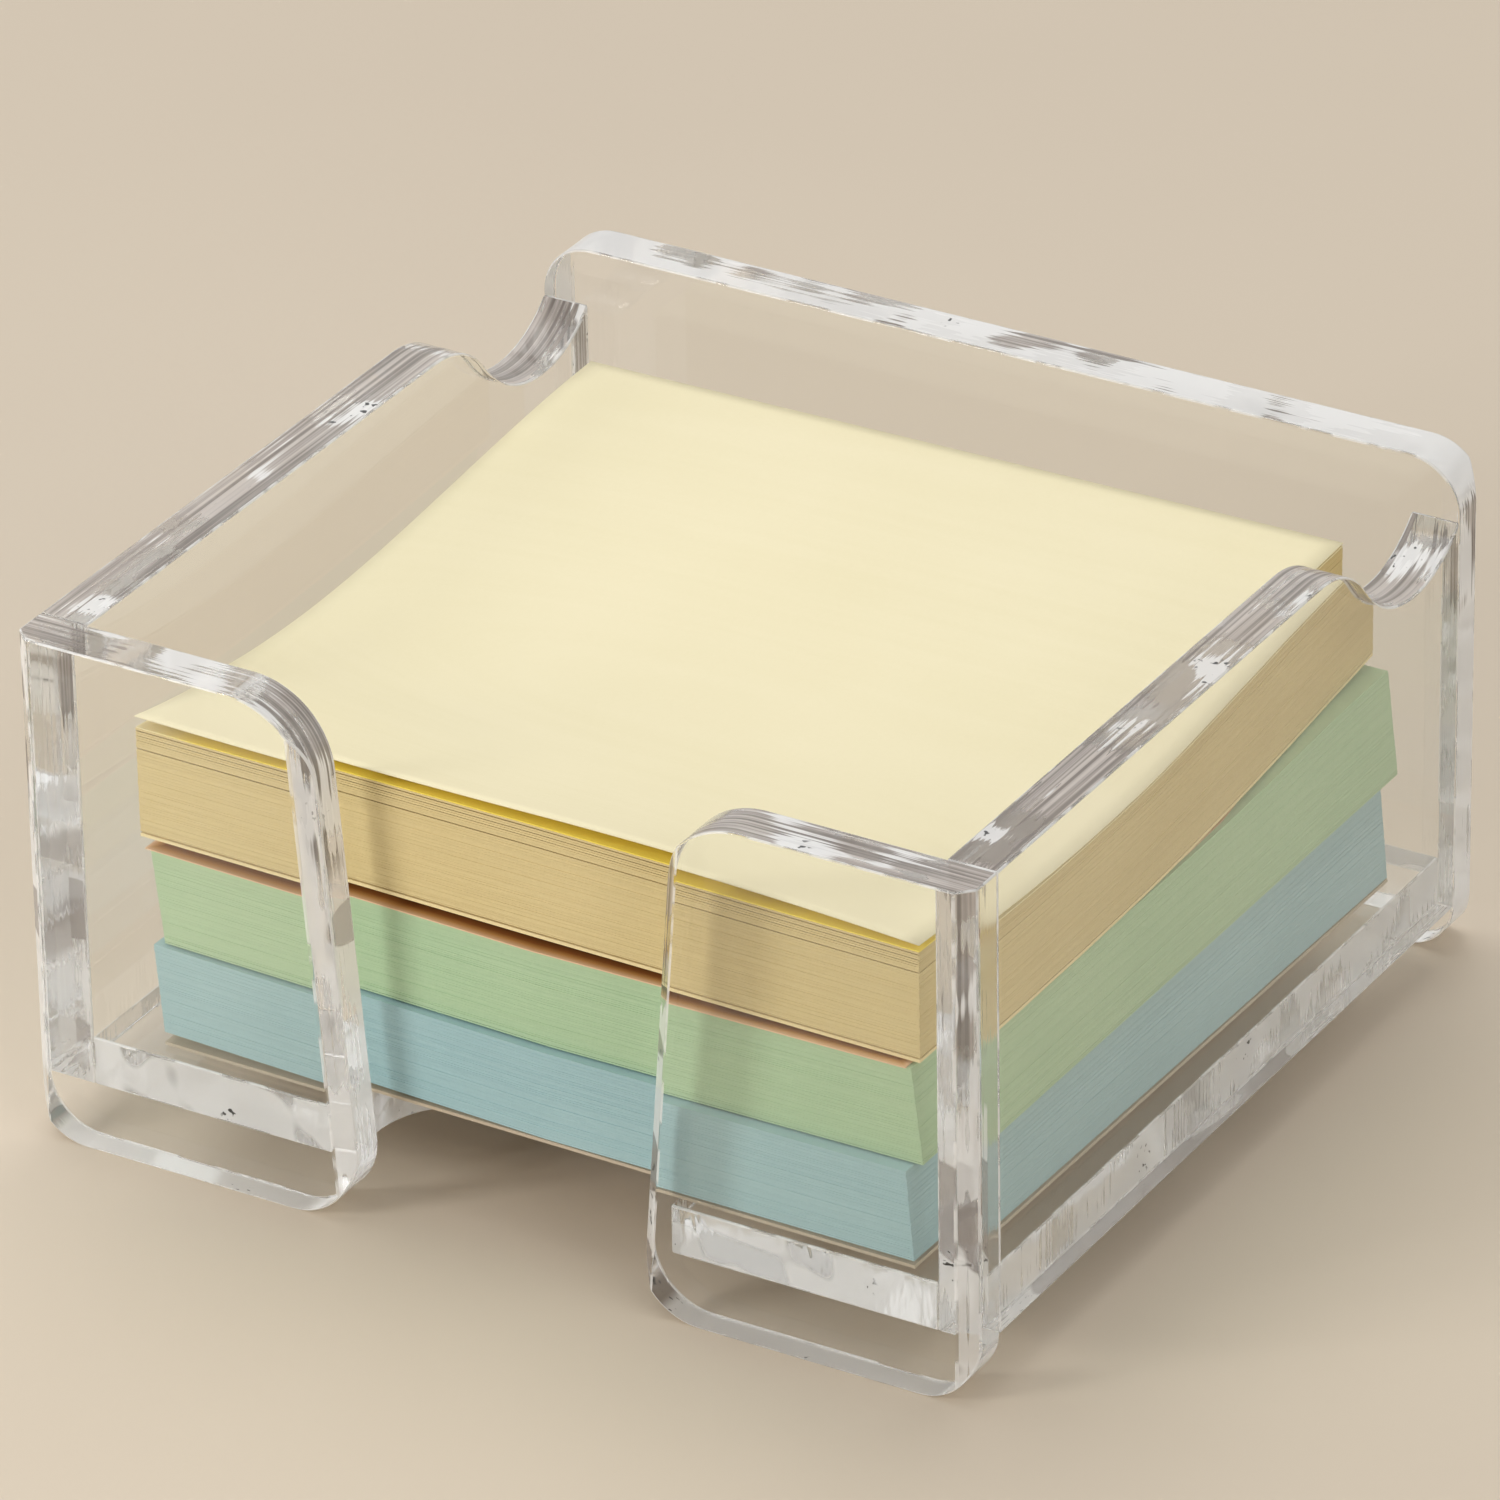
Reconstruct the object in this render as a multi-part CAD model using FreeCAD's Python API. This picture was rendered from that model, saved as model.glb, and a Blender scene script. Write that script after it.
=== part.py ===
"""Clear acrylic holder for 3 inch note pads, with three pads stacked in it.

Millimetres. Origin at the centre of the footprint on the table, +X to the right and -Y towards
the user, +Z up.
"""
import FreeCAD
import Part
import os
from math import acos, asin, cos, pi, sin, sqrt, tan
from FreeCAD import Placement, Rotation, Vector

# Tray, every panel cut from one thickness of cast acrylic
WIDTH = 95.0
DEPTH = 93.0
HEIGHT = 49.8
SHEET = 4.8
FOOT = 5.0                 # front panels and back wall reach this far below the base
BEVEL = 1.5                # on the upright edges of the front panels and back wall
FOOT_ROUND = 5.3
BACK_TOP_ROUND = 5.2

FRONT = -DEPTH / 2
BACK = DEPTH / 2
FLOOR = FOOT + SHEET       # what the pads lie on

# Gap between the front panels, half widths; its sides lean in towards the foot
GAP_TOP = 18.1
GAP_FOOT = 14.1
GAP_TOP_ROUND = 8.0
GAP_FOOT_ROUND = 6.0

# Thumb notch in the front edge of the base
NOTCH = 16.4
NOTCH_BACK = FRONT + 16.0
NOTCH_ROUND = 8.5

# Pen groove near the back of both side walls: a rounded shoulder into a round trough
SHOULDER = FRONT + 62.0
SHOULDER_ROUND = 10.5
GROOVE_ROUND = 11.8
GROOVE_LOW = 40.8

# Note pads
PAD = 76.2
BACKING = 0.3
PAPER = 0.1
CLEAR = 0.2                # between a pad and what it lies on

# Flat pads, as they were left: turned in degrees, leaning over by so much per mm of height
BLUE_AT = Vector(2.4, -2.4, FLOOR + CLEAR)
BLUE_THICK = 9.0
BLUE_TURN = -0.7
BLUE_LEAN = Vector(-0.09, 0, 1)
GREEN_AT = Vector(2.1, -1.55, BLUE_AT.z + BLUE_THICK + CLEAR)
GREEN_THICK = 8.95
GREEN_TURN = 0.0
GREEN_LEAN = Vector(-0.14, 0.03, 1)
PEACH_AT = Vector(0.4, -1.5, GREEN_AT.z + GREEN_THICK)
UPRIGHT = Vector(0, 0, 1)

# Curled yellow pad: heights are of its lowest line, rises are at its front edge
YELLOW_AT = Vector(-0.27, -1.4, PEACH_AT.z + PAPER + CLEAR)
YELLOW_TURN = 1.0
CURL_LOW = -10.5           # where the curl is lowest, from the pad's centre
REAR_RISE = 2.85
YELLOW_THICK = 10.2
UPPER_LAYER = 0.5
UPPER_BLOCK = 1.1
FOOT_RISE = 1.4
BLOCK_RISE = 1.6
UPPER_RISE = 1.8
SECOND_RISE = 2.1
TOP_RISE = 3.0
FAN = 0.1                  # how far the groups of sheets stand apart at the front


def rounded_face(corners):
    """Flat face through corners, each of them a point and its rounding radius."""
    edges = []
    ends = []
    for i, (point, radius) in enumerate(corners):
        before = (corners[i - 1][0] - point).normalize()
        after = (corners[(i + 1) % len(corners)][0] - point).normalize()
        half = acos(before.dot(after)) / 2
        inward = (before + after).normalize()
        enter = point + before * (radius / tan(half))
        leave = point + after * (radius / tan(half))
        middle = point + inward * (radius / sin(half) - radius)
        if radius:
            edges.append(Part.Arc(enter, middle, leave).toShape())
        ends.append((enter, leave))
    for i, (enter, leave) in enumerate(ends):
        edges.append(Part.makeLine(ends[i - 1][1], enter))
    return Part.Face(Part.Wire(Part.__sortEdges__(edges)))


def upright_bevel(panel, y):
    """The panel with its upright edges at y bevelled along their whole length."""
    upright = []
    for edge in panel.Edges:
        low, high = edge.BoundBox.ZMin, edge.BoundBox.ZMax
        on_face = max(abs(vertex.Y - y) for vertex in edge.Vertexes) < 0.01
        if on_face and high - low > HEIGHT / 2:
            upright.append(edge)
    return panel.makeChamfer(BEVEL, upright)


def cut_panel(outline, y, bevelled_y):
    """Panel between y and y + SHEET, from outline corners (x, z, rounding)."""
    rounded = [(Vector(x, y, z), radius) for x, z, radius in outline]
    square = [(point, 0) for point, radius in rounded]
    through = Vector(0, SHEET, 0)
    strip = upright_bevel(rounded_face(square).extrude(through), bevelled_y)
    return strip.common(rounded_face(rounded).extrude(through))


def front_panel(side):
    """Front panel on one side of the gap; side is -1 for left, 1 for right."""
    outline = [
        (side * WIDTH / 2, 0, FOOT_ROUND),
        (side * WIDTH / 2, HEIGHT, 0),
        (side * GAP_TOP, HEIGHT, GAP_TOP_ROUND),
        (side * GAP_FOOT, 0, GAP_FOOT_ROUND),
    ]
    return cut_panel(outline, FRONT, FRONT)


def back_wall():
    outline = [
        (-WIDTH / 2, 0, FOOT_ROUND),
        (WIDTH / 2, 0, FOOT_ROUND),
        (WIDTH / 2, HEIGHT, BACK_TOP_ROUND),
        (-WIDTH / 2, HEIGHT, BACK_TOP_ROUND),
    ]
    return cut_panel(outline, BACK - SHEET, BACK)


def side_wall(side):
    """Side wall between a front panel and the back wall, pen groove at the back."""
    x = side * WIDTH / 2 if side < 0 else WIDTH / 2 - SHEET
    front = FRONT + SHEET
    back = BACK - SHEET
    shoulder = Vector(x, SHOULDER, HEIGHT - SHOULDER_ROUND)
    groove_z = GROOVE_LOW + GROOVE_ROUND
    reach = SHOULDER_ROUND + GROOVE_ROUND
    apart = sqrt(reach ** 2 - (groove_z - shoulder.z) ** 2)
    groove = Vector(x, SHOULDER + apart, groove_z)
    lean = asin((groove_z - shoulder.z) / reach)
    end = -acos((back - groove.y) / GROOVE_ROUND)

    def on(centre, radius, angle):
        return centre + Vector(0, cos(angle), sin(angle)) * radius

    top = Vector(x, SHOULDER, HEIGHT)
    meet = on(shoulder, SHOULDER_ROUND, lean)
    wall_end = on(groove, GROOVE_ROUND, end)
    convex = on(shoulder, SHOULDER_ROUND, (lean + pi / 2) / 2)
    concave = on(groove, GROOVE_ROUND, (lean - pi + end) / 2)
    foot_back = Vector(x, back, FOOT)
    foot_front = Vector(x, front, FOOT)
    top_front = Vector(x, front, HEIGHT)
    outline = [
        Part.makeLine(top_front, top),
        Part.Arc(top, convex, meet).toShape(),
        Part.Arc(meet, concave, wall_end).toShape(),
        Part.makeLine(wall_end, foot_back),
        Part.makeLine(foot_back, foot_front),
        Part.makeLine(foot_front, top_front),
    ]
    return Part.Face(Part.Wire(outline)).extrude(Vector(SHEET, 0, 0))


def base_plate():
    """Floor between the four walls with the thumb notch in its front edge."""
    side = WIDTH / 2 - SHEET
    front = FRONT + SHEET
    plate = Part.makeBox(2 * side, DEPTH - 2 * SHEET, SHEET, Vector(-side, front, FOOT))
    notch = rounded_face([
        (Vector(-NOTCH, front - SHEET, FOOT), 0),
        (Vector(NOTCH, front - SHEET, FOOT), 0),
        (Vector(NOTCH, NOTCH_BACK, FOOT), NOTCH_ROUND),
        (Vector(-NOTCH, NOTCH_BACK, FOOT), NOTCH_ROUND),
    ])
    return plate.cut(notch.extrude(Vector(0, 0, SHEET)))


def flat_layer(at, turn, lean, low, thick):
    """One layer of a flat pad that stands on at, low above the pad's underside."""
    square = Part.makePlane(PAD, PAD, Vector(-PAD / 2, -PAD / 2, 0))
    square.rotate(Vector(0, 0, 0), UPRIGHT, turn)
    square.translate(at + lean * low)
    return square.extrude(lean * thick)


def curl_line(height, front_rise):
    """Front to back line of a curled sheet that is lowest at height."""
    front = -PAD / 2
    third = (CURL_LOW - front) / 3
    rising = Part.BezierCurve()
    rising.setPoles([
        Vector(front, height + front_rise),
        Vector(front + third, height + front_rise / 3),
        Vector(CURL_LOW - third, height),
        Vector(CURL_LOW, height),
    ])
    settling = Part.BezierCurve()
    settling.setPoles([
        Vector(CURL_LOW, height),
        Vector(PAD * 0.07, height),
        Vector(PAD * 0.26, height + REAR_RISE * 0.96),
        Vector(PAD / 2, height + REAR_RISE),
    ])
    return rising.toShape(), settling.toShape()


def curled_layer(low, high, low_rise, high_rise):
    """One layer of the curled pad, between two lines above the pad's underside."""
    under = curl_line(low, low_rise)
    over = curl_line(high, high_rise)
    front = Part.makeLine(Vector(-PAD / 2, low + low_rise), Vector(-PAD / 2, high + high_rise))
    rear = Part.makeLine(Vector(PAD / 2, low + REAR_RISE), Vector(PAD / 2, high + REAR_RISE))
    wire = Part.Wire([under[0], under[1], rear, over[1], over[0], front])
    layer = Part.Face(wire).extrude(Vector(0, 0, PAD))
    upright = Rotation(Vector(0, 1, 0), Vector(0, 0, 1), Vector(1, 0, 0))
    turn = Rotation(Vector(0, 0, 1), YELLOW_TURN)
    to_centre = Placement(Vector(-PAD / 2, 0, 0), upright)
    layer.Placement = Placement(YELLOW_AT, turn).multiply(to_centre)
    return layer


def flat_pad(nodes, colour, at, turn, lean, thick):
    """Card backing, block of sheets and loose top sheet of a flat pad."""
    block = thick - BACKING - PAPER
    nodes[colour + "_pad_backing"] = flat_layer(at, turn, lean, 0, BACKING)
    nodes[colour + "_pad_block"] = flat_layer(at, turn, lean, BACKING, block)
    nodes[colour + "_top_sheet"] = flat_layer(at, turn, lean, thick - PAPER, PAPER)


def yellow_pad(nodes):
    """Curled pad whose upper sheets have come apart in groups at the front."""
    second = YELLOW_THICK - PAPER
    layer = second - UPPER_LAYER
    block = layer - UPPER_BLOCK
    nodes["yellow_pad_backing"] = curled_layer(0, BACKING, FOOT_RISE, FOOT_RISE)
    nodes["yellow_pad_block"] = curled_layer(BACKING, block, FOOT_RISE, BLOCK_RISE)
    nodes["yellow_upper_block"] = curled_layer(block, layer, BLOCK_RISE + FAN, UPPER_RISE)
    nodes["yellow_upper_layer"] = curled_layer(layer, second, UPPER_RISE + FAN, SECOND_RISE - FAN)
    nodes["yellow_second_sheet"] = curled_layer(second, YELLOW_THICK, SECOND_RISE, SECOND_RISE)
    top = YELLOW_THICK + CLEAR
    nodes["yellow_top_sheet"] = curled_layer(top, top + PAPER, TOP_RISE, TOP_RISE)


def build():
    nodes = {
        "base_plate": base_plate(),
        "left_side_wall": side_wall(-1),
        "right_side_wall": side_wall(1),
        "back_wall": back_wall(),
        "front_left_panel": front_panel(-1),
        "front_right_panel": front_panel(1),
    }
    flat_pad(nodes, "blue", BLUE_AT, BLUE_TURN, BLUE_LEAN, BLUE_THICK)
    flat_pad(nodes, "green", GREEN_AT, GREEN_TURN, GREEN_LEAN, GREEN_THICK)
    nodes["peach_loose_sheet"] = flat_layer(PEACH_AT, GREEN_TURN, UPRIGHT, 0, PAPER)
    yellow_pad(nodes)
    return nodes


os.makedirs("parts", exist_ok=True)
for name, shape in build().items():
    shape.exportStep("parts/" + name + ".step")
    box = shape.BoundBox
    print(f"{name:22s} valid {shape.isValid()} solids {len(shape.Solids)} vol {shape.Volume:9.1f}",
          f"x {box.XMin:.2f}..{box.XMax:.2f} y {box.YMin:.2f}..{box.YMax:.2f}",
          f"z {box.ZMin:.2f}..{box.ZMax:.2f}")
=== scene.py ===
import bpy
import bmesh
import numpy as np
from math import cos, radians, sin
from mathutils import Euler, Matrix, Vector


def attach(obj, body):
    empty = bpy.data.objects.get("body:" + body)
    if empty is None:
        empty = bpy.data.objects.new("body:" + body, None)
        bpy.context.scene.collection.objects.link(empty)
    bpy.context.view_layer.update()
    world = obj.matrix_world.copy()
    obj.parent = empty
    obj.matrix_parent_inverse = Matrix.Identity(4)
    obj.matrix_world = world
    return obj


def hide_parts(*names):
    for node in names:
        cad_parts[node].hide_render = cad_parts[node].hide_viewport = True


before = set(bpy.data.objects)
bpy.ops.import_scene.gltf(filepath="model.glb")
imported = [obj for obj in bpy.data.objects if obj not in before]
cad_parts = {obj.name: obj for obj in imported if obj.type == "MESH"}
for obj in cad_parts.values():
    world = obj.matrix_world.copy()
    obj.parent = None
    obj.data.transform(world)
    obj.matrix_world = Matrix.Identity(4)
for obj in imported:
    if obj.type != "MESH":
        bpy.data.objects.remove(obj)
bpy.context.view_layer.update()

# ---- Camera
# A long lens in front of the tray and to its right, looking down at it by 29 degrees and a
# little off level.
DOWN, ROUND, OFF_LEVEL = radians(28.825), radians(31.259), radians(-1.191)

camera = bpy.data.cameras.new("camera")
camera.sensor_width = 36
camera.lens = 266.9
camera.shift_x = 0.0317
camera.shift_y = 0.0099
camera.clip_start = 0.05
camera.clip_end = 20
viewpoint = bpy.data.objects.new("camera", camera)
viewpoint.location = (0.44233, -0.73872, 0.50119)
turn = Euler((radians(90) - DOWN, 0, ROUND)).to_matrix()
roll = Euler((0, 0, OFF_LEVEL)).to_matrix()
viewpoint.rotation_euler = (turn @ roll).to_euler()
bpy.context.collection.objects.link(viewpoint)
bpy.context.scene.camera = viewpoint
bpy.context.scene.view_settings.view_transform = "Standard"

# Light crosses many faces of the clear panels before it gets out again
BOUNCES = 96
paths = bpy.context.scene.cycles
paths.max_bounces = BOUNCES
paths.glossy_bounces = BOUNCES
paths.transmission_bounces = BOUNCES
paths.blur_glossy = 0

# ---- Table
# A plain pale table top, matt. The tray stands on it, on the lower edges of its two front panels
# and its back wall; the base and the side walls stay clear.
REACH = 3
DROP = 0.00002          # the top lies a hair below the tray's feet


class Wire:
    """An output of a node in a material; arithmetic on it adds Math nodes."""

    def __init__(self, tree, socket=None):
        self.tree = tree
        self.socket = socket

    def node(self, kind, settings, sockets, output=0):
        """Adds a node, its settings first, and returns one of its outputs."""
        made = self.tree.nodes.new("ShaderNode" + kind)
        for name, value in settings.items():
            if name == "stops":
                ramp = made.color_ramp.elements
                while len(ramp) < len(value):
                    ramp.new(0.5)
                for stop, (place, colour) in zip(ramp, value):
                    stop.position = place
                    stop.color = (*colour, 1)
            else:
                setattr(made, name, value)
        for name, value in sockets.items():
            if isinstance(value, Wire):
                self.tree.links.new(value.socket, made.inputs[name])
            else:
                made.inputs[name].default_value = value
        return Wire(self.tree, made.outputs[output])

    def math(self, operation, *values):
        return self.node("Math", {"operation": operation}, dict(enumerate((self, *values))))

    def __add__(self, other):
        return self.math("ADD", other)

    def __sub__(self, other):
        return self.math("SUBTRACT", other)

    def __rsub__(self, other):
        return (self * -1).math("ADD", other)

    def __mul__(self, other):
        return self.math("MULTIPLY", other)

    __radd__ = __add__
    __rmul__ = __mul__

    def between(self, low, high):
        """0 below low, 1 above high, smooth in between."""
        settings = {"interpolation_type": "SMOOTHSTEP", "clamp": True}
        return self.node("MapRange", settings, {"Value": self, "From Min": low, "From Max": high})

    def mix(self, dark, light):
        """The colour that runs from dark to light as this value runs from 0 to 1."""
        colours = [c if isinstance(c, Wire) else (*c, 1) for c in (dark, light)]
        sockets = {0: self, 6: colours[0], 7: colours[1]}
        return self.node("Mix", {"data_type": "RGBA"}, sockets, output=2)

    def noise(self, scale, detail=2.0, stretch=(1, 1, 1), at=(0, 0, 0)):
        """Noise on this vector, scale in features per metre, stretched along each axis."""
        sockets = {"Vector": self, "Scale": stretch, "Location": at}
        place = self.node("Mapping", {}, sockets)
        return place.node("TexNoise", {}, {"Vector": place, "Scale": scale, "Detail": detail})

    def bump(self, distance, strength=1.0):
        """Normal from this value as a height in metres times distance."""
        sockets = {"Height": self, "Distance": distance, "Strength": strength}
        return self.node("Bump", {}, sockets)

    def surface(self):
        """Makes this shader the material's surface."""
        end = self.tree.nodes.new("ShaderNodeOutputMaterial")
        self.tree.links.new(self.socket, end.inputs["Surface"])


def new_material(name):
    """An empty material and the Object coordinates in it."""
    made = bpy.data.materials.new(name)
    made.use_nodes = True
    made.node_tree.nodes.clear()
    return made, Wire(made.node_tree).node("TexCoord", {}, {}, output="Object")


def add_piece(name, mesh, *materials):
    """A new object for the mesh, with its materials."""
    made = bpy.data.objects.new(name, mesh)
    bpy.context.collection.objects.link(made)
    mesh.materials.clear()
    for material in materials:
        mesh.materials.append(material)
    return made


pale_table, place = new_material("pale_table")
cloud = place.noise(9, 3)
place.node("BsdfPrincipled", {}, {
    "Base Color": cloud.mix((0.64, 0.54, 0.42), (0.70, 0.60, 0.47)),
    "Roughness": 0.6,
}).surface()
corners = [(-REACH, -REACH, -DROP), (REACH, -REACH, -DROP), (REACH, REACH, -DROP),
           (-REACH, REACH, -DROP)]
table = bpy.data.meshes.new("table")
table.from_pydata(corners, [], [(0, 1, 2, 3)])
add_piece("table_top", table, pale_table)


# ---- Light
# Soft boxes overhead, close by at the front and off to the right. The room is white above and
# behind the tray and grey on the near side.
PADS = Vector((0, 0, 0.03))
NEAR_SIDE, FAR_SIDE, SCATTERED = (0.45, 0.41, 0.38), (1, 1, 1), (0.385, 0.385, 0.385)


def soft_box(name, place, side, power):
    """A square soft box aimed at the pads; side in metres, power in watts.

    Transmission rays miss it, because the clear panels let its light through as it is.
    """
    light = bpy.data.lights.new(name, "AREA")
    light.shape = "RECTANGLE"
    light.size = light.size_y = side
    light.energy = power
    lamp = bpy.data.objects.new(name, light)
    lamp.location = place
    lamp.rotation_euler = (PADS - Vector(place)).to_track_quat("-Z", "Y").to_euler()
    lamp.visible_transmission = False
    bpy.context.collection.objects.link(lamp)


soft_box("overhead_box", (-0.25, 0.25, 0.9), 0.8, 4.15)
soft_box("front_box", (-0.24, -0.34, 0.17), 0.11, 0.74)
soft_box("side_box", (0.9, -0.35, 0.5), 0.6, 2.7)

world = bpy.data.worlds.new("room")
bpy.context.scene.world = world
world.use_nodes = True
world.cycles.sampling_method = "NONE"
world.node_tree.nodes.clear()
sky = Wire(world.node_tree)
scattered = sky.node("LightPath", {}, {}, output="Diffuse Depth").math("MINIMUM", 1)
direction = sky.node("TexCoord", {}, {}, output="Generated")
back, up = (sky.node("SeparateXYZ", {}, {0: direction}, output=i) for i in (1, 2))
far = back.between(-0.4, 0.3).math("MAXIMUM", up.between(0.55, 0.85))
seen = far.mix(NEAR_SIDE, FAR_SIDE)
room = sky.node("Background", {}, {"Color": scattered.mix(seen, SCATTERED)})
end = world.node_tree.nodes.new("ShaderNodeOutputWorld")
world.node_tree.links.new(room.socket, end.inputs["Surface"])

# ---- Tray
# Six panels cut from clear cast acrylic, edges machined and flame polished, glued edge to face.
# Sharp corners are eased a little; each glued end runs a hair into its neighbour, as cement does.
EASE = 0.0002
CEMENT = 0.00002
RIM = (0.031, 0.036)             # heights over which an edge's look turns to that of the rim
FOOT = (0.0008, 0.0016)          # and, near the table, to that of a foot
JOINT_SIDE = (0.0443, 0.0446)    # outer half of a side wall's thickness
JOINT_FRONT = (-0.0416, -0.0414)     # and where the side walls meet the front panels
OUTSIDE = 0.047                  # from the middle to just inside the tray's left and right sides
FACE_TINT, EDGE_TINT = (0.985, 0.99, 0.985), (0.96, 0.955, 0.95)


def cast_acrylic(place, tint, roughness, **relief):
    """Clear cast acrylic."""
    return place.node("BsdfPrincipled", {}, {
        "Base Color": (*tint, 1),
        "Roughness": roughness,
        "IOR": 1.49,
        "Transmission Weight": 1.0,
        **relief,
    })


def shadow_free(glass, passed_on):
    """Glass that lets lamp light straight through to what stands behind it, in this colour."""
    path = glass.node("LightPath", {}, {}, output="Is Shadow Ray")
    clear = glass.node("BsdfTransparent", {}, {"Color": (*passed_on, 1)})
    return glass.node("MixShader", {}, {0: path, 1: glass, 2: clear})


clear_face, place = new_material("clear_acrylic_face")
face = cast_acrylic(place, FACE_TINT, 0.0, Normal=place.noise(60, 1).bump(0.00002))
shadow_free(face, (0.94, 0.95, 0.95)).surface()


def machined_edge(name, along, across, frost, blot=0.66, clear_joint=False):
    """Sawn edge, flame polished: clear where the flame took, else frosted, streaked or chipped.

    along and across are features per metre of the saw's streaks and of the ripple that the flame
    left. frost is the noise level above which the edge is frosted, and blot that of its dark
    blots. With clear_joint the outer half of the cemented front end is clear too. The grey-brown
    and the white frost are partly painted reflection: the brown of a table seen in the edge,
    strongest at the rim, and the white of the room, strongest at the foot.
    """
    made, place = new_material(name)
    x, y, height = (place.node("SeparateXYZ", {}, {0: place}, output=i) for i in range(3))
    high = height.between(*RIM)
    foot = 1 - height.between(*FOOT)
    streaks = place.noise(1, 2, stretch=along)
    ripple = place.noise(1, 1, stretch=across)
    relief = (ripple + 0.4 * streaks).bump(0.00004)
    polished = cast_acrylic(place, EDGE_TINT, 0.03, Normal=relief)
    patches = 0.7 * place.noise(120, 1) + 0.3 * streaks - 0.10 * high
    frosted = patches.between(frost, frost + 0.04).math("MAXIMUM", foot)
    took = (0.35 * streaks + 0.65 * place.noise(110, 2)).between(0.49, 0.51)
    dull = (1 - took) * (0.03 + 0.7 * high)
    blots = place.noise(1, 0, stretch=(60, 60, 140)).between(blot, blot + 0.02)
    blots = blots * (1 - foot) * (1 - high)
    chips = place.noise(1500, 1).between(0.64, 0.68) * place.noise(120, 1).between(0.62, 0.66)
    # Painted reflection, in part: grey-brown for a brown table seen in the edge, white frost for
    # the white room
    grey = streaks.between(0.35, 0.65).mix((0.15, 0.12, 0.10), (0.62, 0.55, 0.50))
    frost_and_painted_reflection = blots.mix(frosted.mix(grey, (0.96, 0.95, 0.93)), (0.30, 0.26, 0.24))
    sawn = place.node("BsdfPrincipled", {}, {
        "Base Color": chips.mix(frost_and_painted_reflection, (0.02, 0.02, 0.02)),
        "Roughness": 0.45,
    })
    white = frosted * (0.50 + 0.15 * high + 0.15 * foot)
    share = dull.math("MAXIMUM", white).math("MAXIMUM", 0.5 * blots).math("MAXIMUM", chips)
    if clear_joint:
        outer = x.math("ABSOLUTE").between(*JOINT_SIDE)
        share = share * (1 - outer * (1 - y.between(*JOINT_FRONT)))
    edge = place.node("MixShader", {}, {0: share, 1: polished, 2: sawn})
    shadow_free(edge, (0.3, 0.3, 0.3)).surface()
    return made


# The eased corners are painted white in places, a painted highlight where they would glint
arris, place = new_material("eased_arris")
painted_highlight = place.node("BsdfPrincipled", {}, {"Base Color": (0.95, 0.94, 0.92, 1), "Roughness": 0.3})
glassy = cast_acrylic(place, EDGE_TINT, 0.1)
painted_glint_share = 0.55 * place.noise(300, 1).between(0.40, 0.55)
corner = place.node("MixShader", {}, {0: painted_glint_share, 1: glassy, 2: painted_highlight})
shadow_free(corner, (0.6, 0.6, 0.6)).surface()


def panel(node, thin_axis, glued, edge, clear_end=False):
    """The node's own shape with eased corners; glued lists (axis, place) of its glued ends.

    With clear_end the upright end faces at its left and right are as clear as its broad faces.
    """
    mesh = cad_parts[node].data.copy()
    shape = bmesh.new()
    shape.from_mesh(mesh)
    bmesh.ops.remove_doubles(shape, verts=shape.verts, dist=1e-6)
    bmesh.ops.dissolve_limit(shape, angle_limit=radians(0.3), verts=shape.verts, edges=shape.edges)
    for axis, end in glued:
        for vert in shape.verts:
            if abs(vert.co[axis] - end) < 1e-5:
                vert.co[axis] += CEMENT if end > 0 else -CEMENT
    for face in shape.faces:
        face.smooth = True
    shape.to_mesh(mesh)
    shape.free()
    piece = add_piece(node + "_acrylic", mesh, clear_face, edge, arris)
    for polygon in mesh.polygons:
        end = clear_end and abs(polygon.normal[0]) > 0.98 and abs(polygon.center[0]) > OUTSIDE
        polygon.material_index = 0 if end or abs(polygon.normal[thin_axis]) > 0.9 else 1
    ease = piece.modifiers.new("ease", "BEVEL")
    ease.width = EASE
    ease.segments = 2
    ease.limit_method = "ANGLE"
    ease.angle_limit = radians(25)
    ease.material = 2
    flat = piece.modifiers.new("flat", "WEIGHTED_NORMAL")
    flat.weight = 100
    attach(piece, "holder")
    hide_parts(node)


SIDE = 0.0427           # inner faces of the side walls
END = 0.0417            # inner faces of the front panels and the back wall
wall_edge = machined_edge("wall_edge", (2500, 20, 40), (150, 60, 300), 0.48, 0.57,
                          clear_joint=True)
base_edge = machined_edge("base_edge", (40, 2500, 20), (1200, 200, 300), 0.42)
left_edge = machined_edge("front_left_edge", (40, 2500, 20), (300, 200, 300), 0.40)
right_edge = machined_edge("front_right_edge", (40, 2500, 20), (300, 200, 300), 0.42, 0.57)
back_edge = machined_edge("back_edge", (40, 2500, 20), (200, 200, 300), 0.30)
panel("base_plate", 2, [(0, -SIDE), (0, SIDE), (1, -END), (1, END)], base_edge)
panel("left_side_wall", 0, [(1, -END), (1, END)], wall_edge)
panel("right_side_wall", 0, [(1, -END), (1, END)], wall_edge)
panel("back_wall", 1, [], back_edge)
panel("front_left_panel", 1, [], left_edge, clear_end=True)
panel("front_right_panel", 1, [], right_edge, clear_end=True)

# ---- Flat pads
# Blue and green 3 inch pads: tinted paper guillotined square, gummed at the back on a card. They
# have slipped sideways as they were handled, and lifted at their front corners and their rear.
PAD = 0.0762
BLUE, BLUE_TURN = (0.0024, -0.0024, 0.0100), radians(-0.7)
BLUE_CARD = 0.0004
BLUE_TAIL = (0, 0.0005)
GREEN = (0.0021, -0.00155, 0.0192)
GREEN_CARD = 0.0002
GREEN_TAIL, GREEN_SPREAD = (0.0012, 0.0023), 0.0010
TAIL_FROM, TAIL_OVER = 0.0066, 0.028       # where the rear starts to lift, and over what length
TAIL_HEIGHT = 0.009                        # height in a pad at which its second lift is given


def uncoated(place, colour, relief):
    """Gives the material the surface of uncoated paper."""
    place.node("BsdfPrincipled", {}, {
        "Base Color": colour, "Roughness": 0.85, "Specular IOR Level": 0.25, "Normal": relief,
    }).surface()


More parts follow.
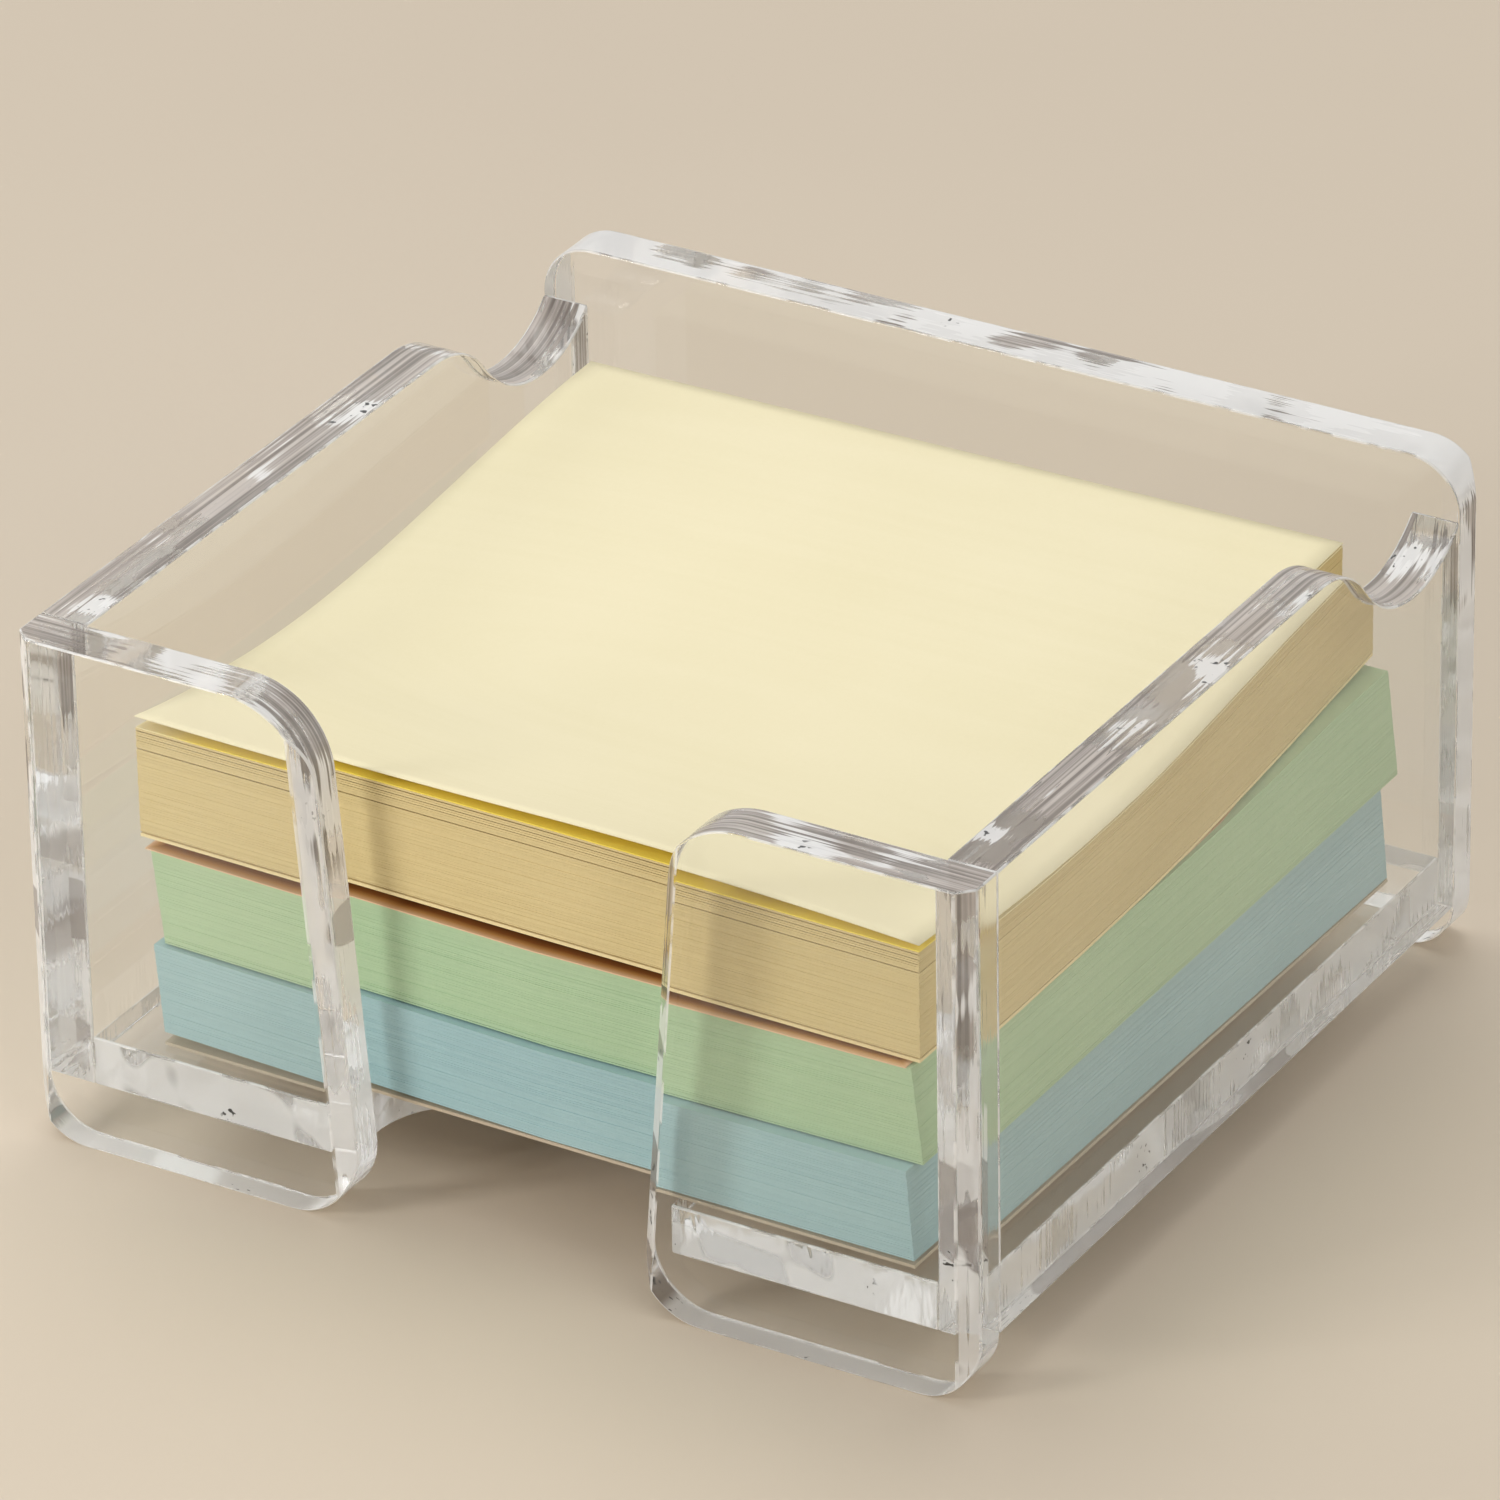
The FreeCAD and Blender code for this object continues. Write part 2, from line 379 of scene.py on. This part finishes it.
def paper(name, dark, light, grain):
    """Uncoated paper, with the fine lines of its stacked edges running level."""
    made, place = new_material(name)
    fibre = place.noise(2600, 3)
    sheets = place.noise(1, 2, stretch=(30, 30, 9000))
    cloud = place.noise(45, 2)
    mask = 0.5 * cloud + 0.3 * sheets + 0.2 * fibre
    uncoated(place, mask.between(0.25, 0.75).mix(dark, light), (fibre + sheets).bump(grain))
    return made


def stack_tree():
    """Geometry Nodes that pile sheets, each slipped and turned a little.

    Pitch is from sheet to sheet, Gap the air in it, and Spans the points along a sheet's depth.
    """
    tree = bpy.data.node_groups.new("sheet_stack", "GeometryNodeTree")
    face = tree.interface
    for name, kind in (
        ("Sheets", "NodeSocketInt"), ("Pitch", "NodeSocketFloat"), ("Gap", "NodeSocketFloat"),
        ("Side", "NodeSocketFloat"), ("Slip", "NodeSocketFloat"), ("Turn", "NodeSocketFloat"),
        ("Spans", "NodeSocketInt"), ("Seed", "NodeSocketInt"), ("Paper", "NodeSocketMaterial"),
    ):
        face.new_socket(name, in_out="INPUT", socket_type=kind)
    face.new_socket("Geometry", in_out="OUTPUT", socket_type="NodeSocketGeometry")
    sizes = tree.nodes.new("NodeGroupInput").outputs

    def add(kind, inputs, **settings):
        made = tree.nodes.new(kind)
        for name, value in settings.items():
            setattr(made, name, value)
        for name, value in inputs.items():
            if hasattr(value, "is_output"):
                tree.links.new(value, made.inputs[name])
            else:
                made.inputs[name].default_value = value
        return made.outputs

    def maths(operation, a, b):
        return add("ShaderNodeMath", {0: a, 1: b}, operation=operation)[0]

    thick = maths("SUBTRACT", sizes["Pitch"], sizes["Gap"])
    size = add("ShaderNodeCombineXYZ", {0: sizes["Side"], 1: sizes["Side"], 2: thick})[0]
    spans = {"Size": size, "Vertices X": 3, "Vertices Y": sizes["Spans"], "Vertices Z": 2}
    sheet = add("GeometryNodeMeshCube", spans)["Mesh"]
    step = add("ShaderNodeCombineXYZ", {2: sizes["Pitch"]})[0]
    first = add("ShaderNodeCombineXYZ", {2: maths("MULTIPLY", sizes["Pitch"], 0.5)})[0]
    line = {"Count": sizes["Sheets"], "Start Location": first, "Offset": step}
    pile = add("GeometryNodeMeshLine", line)["Mesh"]
    slip_low = maths("MULTIPLY", sizes["Slip"], -1)
    low = add("ShaderNodeCombineXYZ", {0: slip_low, 1: slip_low})[0]
    high = add("ShaderNodeCombineXYZ", {0: sizes["Slip"], 1: sizes["Slip"]})[0]
    slip = add("FunctionNodeRandomValue", {0: low, 1: high, "Seed": sizes["Seed"]},
               data_type="FLOAT_VECTOR")[0]
    slipped = add("GeometryNodeSetPosition", {"Geometry": pile, "Offset": slip})[0]
    turn_low = maths("MULTIPLY", sizes["Turn"], -1)
    seed = maths("ADD", sizes["Seed"], 1)
    turn = add("FunctionNodeRandomValue", {2: turn_low, 3: sizes["Turn"], "Seed": seed},
               data_type="FLOAT")[1]
    angle = add("ShaderNodeCombineXYZ", {2: turn})[0]
    placed = add("GeometryNodeInstanceOnPoints",
                 {"Points": slipped, "Instance": sheet, "Rotation": angle})[0]
    real = add("GeometryNodeRealizeInstances", {"Geometry": placed})[0]
    papered = add("GeometryNodeSetMaterial", {"Geometry": real, "Material": sizes["Paper"]})[0]
    end = tree.nodes.new("NodeGroupOutput")
    tree.links.new(papered, end.inputs["Geometry"])
    return tree


SHEET_STACK = stack_tree()


def stack(name, sheets, height, seed, material, slip=0.00003, spans=2, gap=0.000006):
    """Mesh of a pile of sheets, centred, its underside at zero."""
    maker = bpy.data.objects.new("maker", bpy.data.meshes.new("maker"))
    bpy.context.collection.objects.link(maker)
    nodes = maker.modifiers.new("stack", "NODES")
    nodes.node_group = SHEET_STACK
    values = {
        "Sheets": sheets, "Pitch": height / sheets, "Gap": gap, "Side": PAD - 2 * slip,
        "Slip": slip, "Turn": 0.0003, "Spans": spans, "Seed": seed, "Paper": material,
    }
    for item in SHEET_STACK.interface.items_tree:
        if item.in_out == "INPUT":
            nodes[item.identifier] = values[item.name]
    view = bpy.context.evaluated_depsgraph_get()
    mesh = bpy.data.meshes.new_from_object(maker.evaluated_get(view))
    bpy.data.objects.remove(maker)
    mesh.name = name
    return mesh


def placed(mesh, at, turn=0.0, bend=None):
    """Bends the mesh with bend(x, y, z), then turns it and sets it down at a place."""
    points = np.empty(len(mesh.vertices) * 3)
    mesh.vertices.foreach_get("co", points)
    x, y, z = points.reshape(-1, 3).T
    if bend:
        x, y, z = bend(x, y, z)
    c, s = cos(turn), sin(turn)
    points = np.stack([c * x - s * y, s * x + c * y, z], 1) + np.array(at)
    mesh.vertices.foreach_set("co", points.ravel())
    mesh.update()
    return mesh


def block(name, body, nodes, mesh, material):
    """A piece of paper or card that rides on the body and stands for the nodes."""
    piece = add_piece(name, mesh, material)
    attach(piece, body)
    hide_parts(*nodes)


def warped(lean_x, lean_y, low, tail=(0, 0), spread=0.0):
    """Bend for a pad that leans over with height, and has lifted at its front corners and its rear.

    low is the mesh's height above the pad's underside. tail is the lift at the rear, at the
    underside and TAIL_HEIGHT above it; spread moves the right rear out.
    """
    def bend(x, y, z):
        front = np.clip((PAD / 2 - y) / PAD, 0, 1)
        rear = np.clip((y - TAIL_FROM) / TAIL_OVER, 0, 1)
        rear = rear * rear * (3 - 2 * rear)
        left = np.clip(-x / (PAD / 2), 0, 1) ** 2
        right = np.clip(x / (PAD / 2), 0, 1)
        height = z + low
        up = (0.0009 * left + 0.0003 * right ** 2) * front
        up += (tail[0] + (tail[1] - tail[0]) * height / TAIL_HEIGHT) * rear
        return x + lean_x * height + spread * rear * right, y + lean_y * height, z + up
    return bend


def green_bend(low):
    """Bend of the green pad, and of its card."""
    return warped(-0.14, 0.03, low, GREEN_TAIL, GREEN_SPREAD)


blue_paper = paper("blue_paper", (0.36, 0.54, 0.56), (0.45, 0.63, 0.64), 0.00002)
green_paper = paper("green_paper", (0.43, 0.60, 0.37), (0.53, 0.68, 0.44), 0.00002)
card = paper("backing_card", (0.52, 0.43, 0.31), (0.62, 0.53, 0.40), 0.00002)

blue = stack("blue_sheets", 86, 0.0086, 3, blue_paper, spans=12)
placed(blue, (BLUE[0], BLUE[1], BLUE[2] + BLUE_CARD), BLUE_TURN,
       warped(-0.09, 0, BLUE_CARD, BLUE_TAIL))
block("blue_pad_sheets", "blue_pad", ["blue_pad_block", "blue_top_sheet"],
      blue, blue_paper)
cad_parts["blue_pad_backing"].data.materials.clear()
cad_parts["blue_pad_backing"].data.materials.append(card)

green = stack("green_sheets", 87, 0.00875, 5, green_paper, spans=12)
placed(green, (GREEN[0], GREEN[1], GREEN[2] + GREEN_CARD), 0, green_bend(GREEN_CARD))
block("green_pad_sheets", "green_pad", ["green_pad_block", "green_top_sheet"],
      green, green_paper)
green_card = stack("green_card", 1, 0.00016, 5, green_paper, spans=12, gap=0)
placed(green_card, GREEN, 0, green_bend(0))
block("green_pad_card", "green_pad", ["green_pad_backing"], green_card, green_paper)

# ---- Peach sheet
# One loose sheet of peach paper lying between the green pad and the yellow one. Painted shade
# runs in from its front and side edges, for the gap under the yellow pad: pale peach at the very
# edge, orange where light bounces in, then dark brown, and plain peach again past about 4 mm.
PEACH = (0.0004, -0.0015, 0.02816)
PEACH_TAIL, PEACH_SPREAD = (0.0023, 0.0023), -0.0020
GAP_SHADE_SPAN = 240           # the painted shade runs 1/240 m in from the edges

peach_paper, place = new_material("peach_paper")
x, y = (place.node("SeparateXYZ", {}, {0: place}, output=i) for i in (0, 1))
inside = (y - (PEACH[1] - PAD / 2)).math("MINIMUM", (PEACH[0] + PAD / 2) - x)
margin = inside.math("MINIMUM", x - (PEACH[0] - PAD / 2))
stops = {"stops": [
    (0, (0.86, 0.60, 0.38)), (0.16, (0.64, 0.34, 0.11)), (0.30, (0.34, 0.13, 0.03)),
    (0.5, (0.16, 0.055, 0.012)), (1, (0.80, 0.56, 0.38)),
]}
# Painted shade of the gap under the yellow pad, by distance from the sheet's edges
gap_shade_colour = place.node("ValToRGB", stops, {0: margin * GAP_SHADE_SPAN})
uncoated(place, gap_shade_colour, place.noise(2600, 3).bump(0.00002))
peach = stack("peach_sheet", 1, 0.0001, 9, peach_paper, spans=12, gap=0)
placed(peach, PEACH, 0, warped(0, 0, 0, PEACH_TAIL, PEACH_SPREAD))
block("peach_sheet", "green_pad", ["peach_loose_sheet"], peach, peach_paper)

# ---- Yellow pad
# The pad in use, a 3 inch block of yellow paper gummed at the back on a card. Its sheets have
# dried into a curl, low in the middle, and come apart at the front.
YELLOW, YELLOW_TURN = (-0.00027, -0.0014, 0.02845), radians(1.0)
YELLOW_CARD = 0.0003
LOW = -0.0105           # the line, from the pad's middle, where the curl is lowest
THICK = 0.0102

# Heights at which the sheets have parted, and how far at the front edge
PARTINGS = (
    (0.0004, 0.00006), (0.0084, 0.00010), (0.0091, 0.00006), (0.0095, 0.00006), (0.0099, 0.00010),
)


def curled(fan=0.0):
    """Bend for the curled pad: up at the front and the back of its low line, left corner highest.

    fan is how much further up the front edge stands.
    """
    def bend(x, y, z):
        front = np.clip((LOW - y) / (LOW + PAD / 2), 0, 1) ** 2
        rear = np.clip((y - LOW) / (PAD / 2 - LOW), 0, 1)
        left = np.clip(-x / (PAD / 2), 0, 1) ** 2
        right = np.clip(x / (PAD / 2), 0, 1) ** 2
        level = z / THICK
        parted = sum(gap * (z > low) for low, gap in PARTINGS)
        rise = 0.0012 + 0.0005 * level + parted + fan
        rise = rise - (0.0008 + 0.0003 * level + 0.55 * fan) * right
        leaning = (0.0010 - 0.0003 * level) * left * (PAD / 2 - y) / PAD
        back = 0.00285 * (2.88 * rear ** 2 * (1 - rear) + rear ** 3)
        sag = 0.004 * (1 - level) * rear ** 2 * (1 - rear)
        spread = 0.0010 * (x / PAD + 0.5)
        return x + spread, y, z + rise * front + leaning + back - sag
    return bend


def yellow_sheets(name, count, low, height, seed, material):
    """Sheets of the curled pad that start low above its underside, in their place."""
    sheets = stack(name, count, height, seed, material, spans=20, gap=0.000006 if count > 1 else 0)
    placed(sheets, (0, 0, low))
    return placed(sheets, YELLOW, YELLOW_TURN, curled())


yellow_paper = paper("yellow_paper", (0.68, 0.54, 0.26), (0.78, 0.64, 0.34), 0.00002)
yellow = yellow_sheets("yellow_sheets", 97, 0.0004, 0.0097, 7, yellow_paper)
block("yellow_pad_sheets", "yellow_pad",
      ["yellow_pad_block", "yellow_upper_block", "yellow_upper_layer"], yellow, yellow_paper)

# The sheet that comes next. Its front margin is painted golden, a painted glow for the light that
# comes through the top sheet.
MARGIN = (0.0020, 0.0050)            # from the front edge
MARGIN_END = (-0.0375, -0.0310)      # where it fades, near the left corner
next_paper, place = new_material("next_sheet_paper")
x, y = (place.node("SeparateXYZ", {}, {0: place}, output=i) for i in (0, 1))
c, s = cos(YELLOW_TURN), sin(YELLOW_TURN)
across = c * (x - YELLOW[0]) + s * (y - YELLOW[1])
from_front = c * (y - YELLOW[1]) - s * (x - YELLOW[0]) + PAD / 2
painted_glow_mask = (1 - from_front.between(*MARGIN)) * across.between(*MARGIN_END)
painted_glow_colour = painted_glow_mask.mix((0.90, 0.80, 0.50), (1.0, 0.80, 0.13))
uncoated(place, painted_glow_colour, place.noise(2600, 3).bump(0.00001))
second = yellow_sheets("second_sheet", 1, 0.0101, 0.0001, 11, next_paper)
block("yellow_second_sheet_paper", "yellow_pad", ["yellow_second_sheet"],
      second, next_paper)

yellow_card = paper("yellow_card", (0.86, 0.70, 0.36), (0.93, 0.78, 0.45), 0.00002)
under = yellow_sheets("yellow_card", 1, 0.0, YELLOW_CARD, 13, yellow_card)
block("yellow_pad_card", "yellow_pad", ["yellow_pad_backing"], under, yellow_card)

# ---- Top sheet
# The yellow pad's top sheet, one leaf of the same paper, painted paler than the pad's sheets
# below: a lit copy of that paper, for the full light on top. It is gummed at the back and curled
# up further than the rest at the front.
LEAF = 0.0001
FAN = 0.0008
top_paper = paper("top_yellow_paper", (0.91, 0.82, 0.54), (0.95, 0.86, 0.59), 0.00001)
shape = bmesh.new()
bmesh.ops.create_grid(shape, x_segments=40, y_segments=60, size=PAD / 2)
top = bpy.data.meshes.new("top_sheet")
shape.to_mesh(top)
shape.free()
placed(top, (0, 0, THICK + 2.5 * LEAF))
placed(top, YELLOW, YELLOW_TURN, curled(FAN))
top_piece = add_piece("yellow_top_sheet_paper", top, top_paper)
for polygon in top.polygons:
    polygon.use_smooth = True
thick = top_piece.modifiers.new("thick", "SOLIDIFY")
thick.thickness = LEAF
thick.offset = 0
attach(top_piece, "top_sheet")
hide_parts("yellow_top_sheet")
